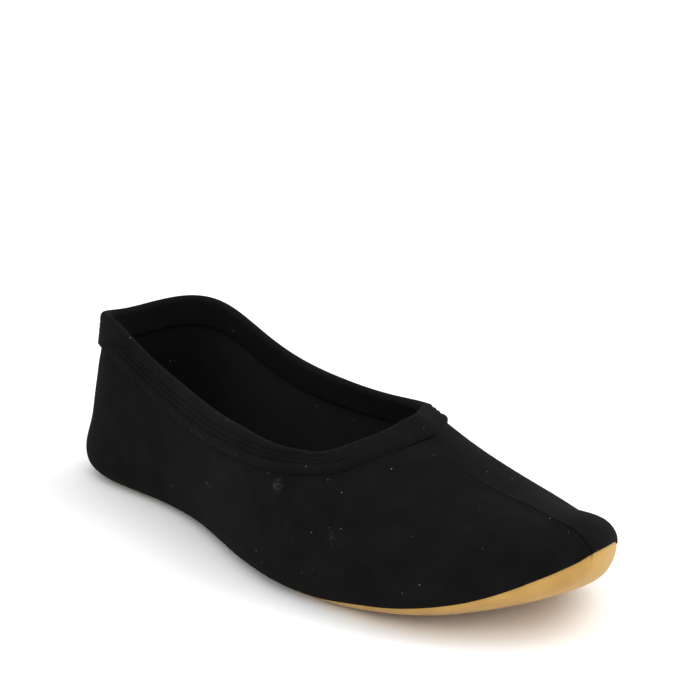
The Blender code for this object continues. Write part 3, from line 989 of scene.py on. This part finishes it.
def sole_column(start, middle):
    """Points on the outside of the sole from its rim to the middle of the underside."""
    hub = Vector((*middle, start[2] + HUB_HEIGHT))
    low = Vector((*middle, 0.0))
    points = [Vector(start)]
    for share in np.linspace(0, 1, SOLE_GUIDE_ROWS)[1:] ** SOLE_GUIDE_SPREAD:
        way = (Vector(start).lerp(low, share) - hub).normalized()
        points.append(sole_skin.ray_cast(hub + way * RAY_START, -way)[0])
    return points


spine = on_spine(middles[:, 0])
sole_guide = np.array([sole_column(start, middle) for start, middle in zip(sole_rim, spine)])
print("sole guide, columns by rows:", sole_guide.shape[:2])

# %% Smooth sheet of the sole
SOLE_ROWS = 40
SOLE_ROW_SPREAD = 1.3
# Start and end of each stretch from heel to toe, and how many columns it has
SOLE_HALF_STOPS = [(0.0, 0.015, HEEL_STEPS), (0.015, 0.41, OPEN_STEPS), (0.41, 0.5, TOE_STEPS)]

sole_half = spread_over(SOLE_HALF_STOPS)
sole_rounds = np.concatenate([sole_half, [0.5], 1 - sole_half[::-1]])
row_shares = np.linspace(0, 1, SOLE_ROWS + 1)
sole_columns = fine_columns(sole_guide, row_shares ** SOLE_ROW_SPREAD)
sole_sheet = fine_sheet(sole_columns, last_places, sole_rounds)
# Both sides end on the same points of the middle line, so that they can be merged there
ends = (sole_sheet[:, -1] + sole_sheet[::-1, -1]) / 2
ends[:, :2] = on_spine(ends[:, 0])
sole_sheet += (ends - sole_sheet[:, -1])[:, None] * row_shares[None, :, None] ** 2
print("fine sole:", sole_sheet.shape[0], "by", sole_sheet.shape[1], "points")

# %% Rim tucked up behind the edge of the jersey
TUCK_UNDER = 0.8
TUCK_REACH = 3.5

sole_depth = run_length(sole_sheet, 1) / MM
jersey_down = unit(last_sheet[:, -1] - last_sheet[:, -2])
jersey_edge = upper_places[:, -1] + (last_facing[:, -1] * EDGE_ROLL - jersey_down * TUCK_UNDER) * MM
rim_move = read_along(jersey_edge, rounds, sole_rounds) - sole_sheet[:, 0]
sole_sheet += rim_move[:, None] * np.exp(-sole_depth / TUCK_REACH)[..., None]
print("sole rim moved by up to", round(np.linalg.norm(rim_move, axis=-1).max() / MM, 1), "mm")

# %% [markdown]
# ## Honey suede
# Suede has a short nap, fine pores and soft blotches where it is handled. Nap and pores are too fine
# to model and are bump, and the blotches mix two honey tones. The back of the suede is paler and
# plainer, and its colour is painted shade, darker where the bump of its nap is low.

# %% Suede materials
HONEY = (0.455, 0.270, 0.068)
HONEY_DARK = (0.345, 0.186, 0.042)
HONEY_ROUGHNESS = 0.72
HONEY_GLOSS = 0.3
HONEY_SHEEN = 0.1
BACK = (0.58, 0.47, 0.33)
# Painted shade in the low parts of the nap on the back
BACK_NAP_SHADE = (0.52, 0.41, 0.27)
BACK_ROUGHNESS = 0.9
NAP_SIZE = 0.55 * MM
NAP_DETAIL = 4.0
PORE_SIZE = 0.9 * MM
PORE_SHARE = 0.6
SUEDE_RELIEF = 0.5
SUEDE_DEPTH = 0.12 * MM
BLOTCH_SIZE = 12 * MM
BLOTCH_DETAIL = 5.0
BLOTCH_RANGE = (0.35, 0.75)

suede, tree, shader = new_material(
    "honey_suede", HONEY, HONEY_ROUGHNESS, Specular_IOR_Level=HONEY_GLOSS, Sheen_Weight=HONEY_SHEEN)
spot = add(tree, "ShaderNodeTexCoord").outputs["Object"]
nap = noise_field(tree, spot, NAP_SIZE, Detail=NAP_DETAIL)
pores = add(tree, "ShaderNodeTexVoronoi", {"Vector": spot, "Scale": 1 / PORE_SIZE}).outputs["Distance"]
grain = math_node(tree, "ADD", nap, math_node(tree, "MULTIPLY", pores, PORE_SHARE))
give_relief(tree, shader, grain, SUEDE_RELIEF, SUEDE_DEPTH)
blotch = ramp(tree, noise_field(tree, spot, BLOTCH_SIZE, Detail=BLOTCH_DETAIL), *BLOTCH_RANGE)
tree.links.new(mix_colour(tree, blotch, HONEY, HONEY_DARK), shader.inputs["Base Color"])

suede_back, tree, shader = new_material("suede_back", BACK, BACK_ROUGHNESS)
spot = add(tree, "ShaderNodeTexCoord").outputs["Object"]
nap = noise_field(tree, spot, NAP_SIZE, Detail=NAP_DETAIL)
give_relief(tree, shader, nap, SUEDE_RELIEF, SUEDE_DEPTH)
# Painted shade: the back is darker where its nap bump is low
tree.links.new(mix_colour(tree, nap, BACK_NAP_SHADE, BACK), shader.inputs["Base Color"])
print("suede ready")

# %% [markdown]
# ## The sole as a piece
# The edge of the suede rolls in under the jersey and puckers where it is gathered round the toe. Both
# are heights over the smooth sheet, as on the upper, and Solidify gives the suede its thickness.

# %% Make the sole
SOLE_WALL = 1.8 * MM
SOLE_ROLL = 0.9
SOLE_ROLL_WIDTH = 1.2
PUCKER = 0.2
PUCKER_PITCH = 2.1
PUCKER_REACH = 3.2
PUCKER_SPREAD = 34.0

sole_facing = facings(sole_sheet)
sole_depth = run_length(sole_sheet, 1) / MM
rim_run = run_length(sole_sheet, 0)[:, :1] / MM
from_tip = rim_run - rim_run[len(sole_half)]
puckers = PUCKER * np.cos(math.tau * from_tip / PUCKER_PITCH) * hump(from_tip, PUCKER_SPREAD)
puckers = puckers * np.exp(-sole_depth / PUCKER_REACH)
sole_height = puckers - SOLE_ROLL * hump(sole_depth, SOLE_ROLL_WIDTH)
sole_places = sole_sheet + sole_facing * (sole_height * MM)[..., None]
sole = make_piece("suede_sole", lay_grid(sole_places), [suede, suede_back], ["sole"])
give_wall(sole, SOLE_WALL)

# %% [markdown]
# ## Cotton insole
# A plain woven sock lies on the sole inside. Its CAD plate already has the right outline, so a merged
# copy is turned back to quads and rounded by a Subdivision Surface, which is less work than a new
# sheet. The weave is bump, and its colour is painted shade and painted light: darker in the hollows
# of the weave and paler on its tops.

# %% Cotton material
COTTON = (0.60, 0.54, 0.43)
# Painted shade in the hollows of the weave and a painted highlight on its tops
COTTON_HOLLOW_SHADE = (0.50, 0.44, 0.34)
COTTON_TOP_LIGHT = (0.64, 0.58, 0.47)
COTTON_ROUGHNESS = 0.92
COTTON_SHEEN = 0.1
WEAVE = 0.9 * MM
WEAVE_RELIEF = 0.5
WEAVE_DEPTH = 0.12 * MM

cotton, tree, shader = new_material("undyed_cotton", COTTON, COTTON_ROUGHNESS, Sheen_Weight=COTTON_SHEEN)
spot = add(tree, "ShaderNodeTexCoord").outputs["Object"]
ways = add(tree, "ShaderNodeSeparateXYZ", {0: spot}).outputs
warp = math_node(tree, "SINE", math_node(tree, "MULTIPLY", ways["X"], math.tau / WEAVE))
weft = math_node(tree, "SINE", math_node(tree, "MULTIPLY", ways["Y"], math.tau / WEAVE))
weave = math_node(tree, "MULTIPLY", warp, weft)
give_relief(tree, shader, weave, WEAVE_RELIEF, WEAVE_DEPTH)
# Painted shade and light: the colour follows the weave's height, darker in its hollows, paler on its tops
shade = ramp(tree, weave, -1.0, 1.0)
tree.links.new(mix_colour(tree, shade, COTTON_HOLLOW_SHADE, COTTON_TOP_LIGHT), shader.inputs["Base Color"])
print("cotton ready")

# %% Make the insole
ANY_ANGLE = math.pi
ALIGN_QUADS = 2.0
ROUNDING_LEVELS = 2

form = merged_copy("insole")
bmesh.ops.join_triangles(
    form, faces=form.faces, angle_face_threshold=ANY_ANGLE, angle_shape_threshold=ANY_ANGLE,
    topology_influence=ALIGN_QUADS)
insole = make_piece("cotton_insole", form, [cotton], ["insole"])
rounder = insole.modifiers.new("round", "SUBSURF")
rounder.levels = ROUNDING_LEVELS
rounder.render_levels = ROUNDING_LEVELS
